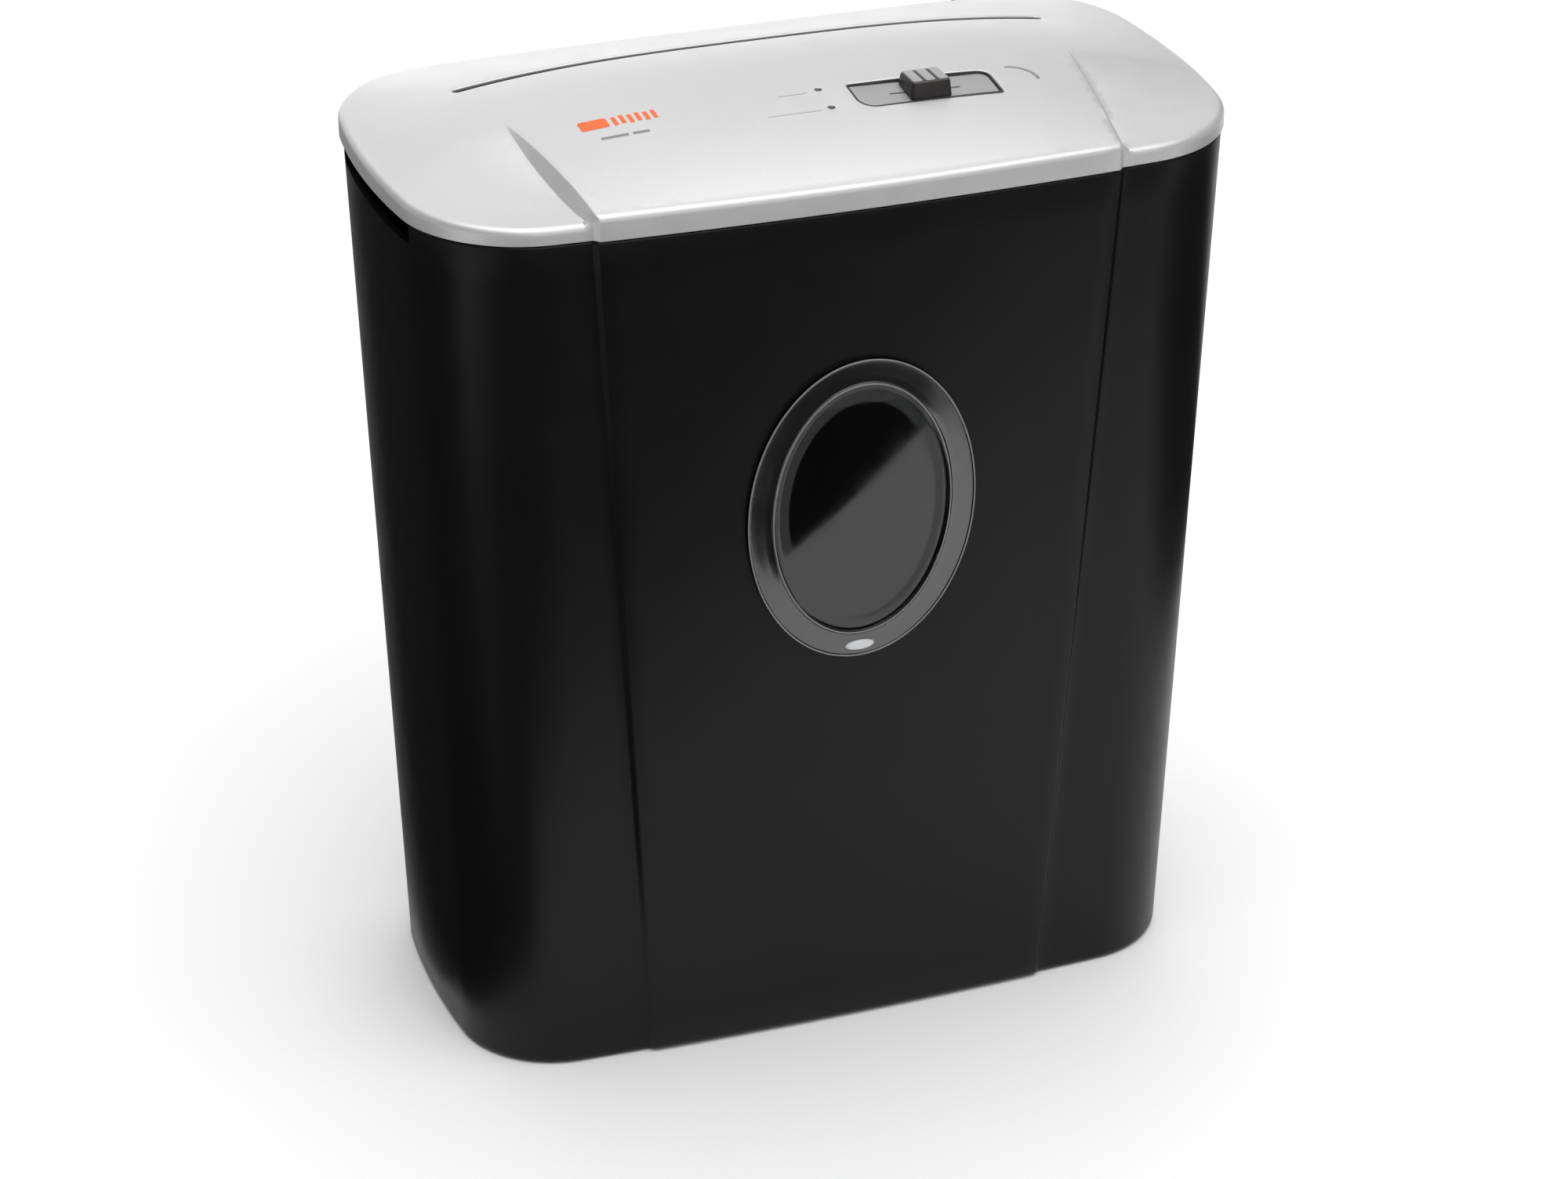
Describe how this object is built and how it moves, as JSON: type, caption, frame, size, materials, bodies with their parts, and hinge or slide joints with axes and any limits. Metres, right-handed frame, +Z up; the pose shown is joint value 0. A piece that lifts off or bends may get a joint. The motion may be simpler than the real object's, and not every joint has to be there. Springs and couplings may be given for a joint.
{
  "type": "paper shredder",
  "caption": "Desk-side strip-cut paper shredder: lift-off silver cutting head with sliding mode switch on a tapered black waste bin with an oval window.",
  "frame": {"origin": "middle of the footprint on the floor", "axes": "+Z up, +X along the paper slot to the right seen from the front, -Y out of the windowed front"},
  "size_m": [0.3112, 0.17, 0.3596],
  "materials": {
    "bin_plastic": "satin moulded black",
    "smoked_window": "clear styrene",
    "silver_plastic": "satin silver paint on plastic",
    "tray_plastic": "fine matte grey",
    "dark_plastic": "moulded dark",
    "knob_plastic": "matte dark",
    "light_lens": "clear light pipe",
    "soft_rubber": "soft moulded",
    "zinc_steel": "zinc plated",
    "cutter_steel": "hardened and oiled",
    "spacer_nylon": "glass-filled nylon",
    "gear_nylon": "natural nylon with grease",
    "brass_metal": "sintered bronze",
    "motor_metal": "drawn steel can",
    "switch_plastic": "moulded",
    "copper_wire": "enamelled windings",
    "spring_steel": "drawn wire",
    "board_green": "solder mask",
    "capacitor_can": "sleeved can",
    "terminal_plastic": "moulded green"
  },
  "bodies": {
    "bin": {"waste_bin": "bin_plastic", "bin_window": "smoked_window"},
    "head": {"top_cover": "silver_plastic", "switch_tray": "tray_plastic", "feed_chute": "dark_plastic", "status_lights": "light_lens", "cord_gland": "soft_rubber", "head_base": "dark_plastic", "housing_screws": "zinc_steel", "left_side_plate": "zinc_steel", "right_side_plate": "zinc_steel", "tie_rods": "zinc_steel", "tie_rod_nuts": "zinc_steel", "shaft_bushes": "brass_metal", "front_stripper": "spacer_nylon", "rear_stripper": "spacer_nylon", "gear_axles": "cutter_steel", "gear_plate": "zinc_steel", "motor_can": "motor_metal", "motor_bearing": "brass_metal", "motor_end_cap": "switch_plastic", "motor_screws": "zinc_steel", "sensor_pin": "spring_steel", "sensor_switch": "switch_plastic", "sensor_bracket": "dark_plastic", "sensor_spring": "spring_steel", "interlock_switch": "switch_plastic", "interlock_spring": "spring_steel", "circuit_board": "board_green", "board_posts": "dark_plastic", "relay": "switch_plastic", "capacitor": "capacitor_can", "terminal_block": "terminal_plastic", "slide_switch": "switch_plastic"},
    "front_cutter": {"front_shaft": "cutter_steel", "front_discs": "cutter_steel", "front_spacers": "spacer_nylon", "drive_gear": "gear_nylon", "front_sync_gear": "gear_nylon"},
    "rear_cutter": {"rear_shaft": "cutter_steel", "rear_discs": "cutter_steel", "rear_spacers": "spacer_nylon", "rear_sync_gear": "gear_nylon"},
    "second_gear": {"second_wheel": "gear_nylon", "second_wheel_pinion": "gear_nylon"},
    "first_gear": {"first_wheel": "gear_nylon", "first_wheel_pinion": "gear_nylon"},
    "rotor": {"motor_shaft": "cutter_steel", "motor_armature": "copper_wire", "motor_pinion": "brass_metal"},
    "knob": {"mode_knob": "knob_plastic"},
    "sensor": {"sensor_lever": "switch_plastic"},
    "interlock": {"interlock_plunger": "switch_plastic"}
  },
  "joints": [
    {"name": "head_lift", "type": "slide", "parent": "bin", "child": "head", "axis": [0, 0, 1], "range_m": [0, 0.2]},
    {"name": "front_cutter_spin", "type": "hinge", "parent": "head", "child": "front_cutter", "pos_m": [0, 0.013, 0.296], "axis": [1, 0, 0], "continuous": true},
    {"name": "rear_cutter_spin", "type": "hinge", "parent": "head", "child": "rear_cutter", "pos_m": [0, 0.047, 0.296], "axis": [1, 0, 0], "continuous": true},
    {"name": "second_gear_spin", "type": "hinge", "parent": "head", "child": "second_gear", "pos_m": [0, -0.01102, 0.28541], "axis": [1, 0, 0], "continuous": true},
    {"name": "first_gear_spin", "type": "hinge", "parent": "head", "child": "first_gear", "pos_m": [0, -0.02604, 0.30663], "axis": [1, 0, 0], "continuous": true},
    {"name": "rotor_spin", "type": "hinge", "parent": "head", "child": "rotor", "pos_m": [0, -0.04604, 0.29247], "axis": [1, 0, 0], "continuous": true},
    {"name": "mode_slide", "type": "slide", "parent": "head", "child": "knob", "axis": [1, 0, 0], "range_m": [-0.012, 0.012]},
    {"name": "sensor_swing", "type": "hinge", "parent": "head", "child": "sensor", "pos_m": [0, 0.0215, 0.331], "axis": [1, 0, 0], "range_deg": [-50, 0], "stiffness_Nm_per_rad": 0.001, "springref_deg": 20.05},
    {"name": "interlock_press", "type": "slide", "parent": "head", "child": "interlock", "axis": [1, 0, 0], "range_m": [0, 0.004]}
  ],
  "couplings": [
    {"joint": "rear_cutter_spin", "follows": "front_cutter_spin", "ratio": -1},
    {"joint": "second_gear_spin", "follows": "front_cutter_spin", "ratio": -2.5},
    {"joint": "first_gear_spin", "follows": "front_cutter_spin", "ratio": 10},
    {"joint": "rotor_spin", "follows": "front_cutter_spin", "ratio": -60},
    {"joint": "interlock_press", "follows": "head_lift", "ratio": 0.02}
  ]
}
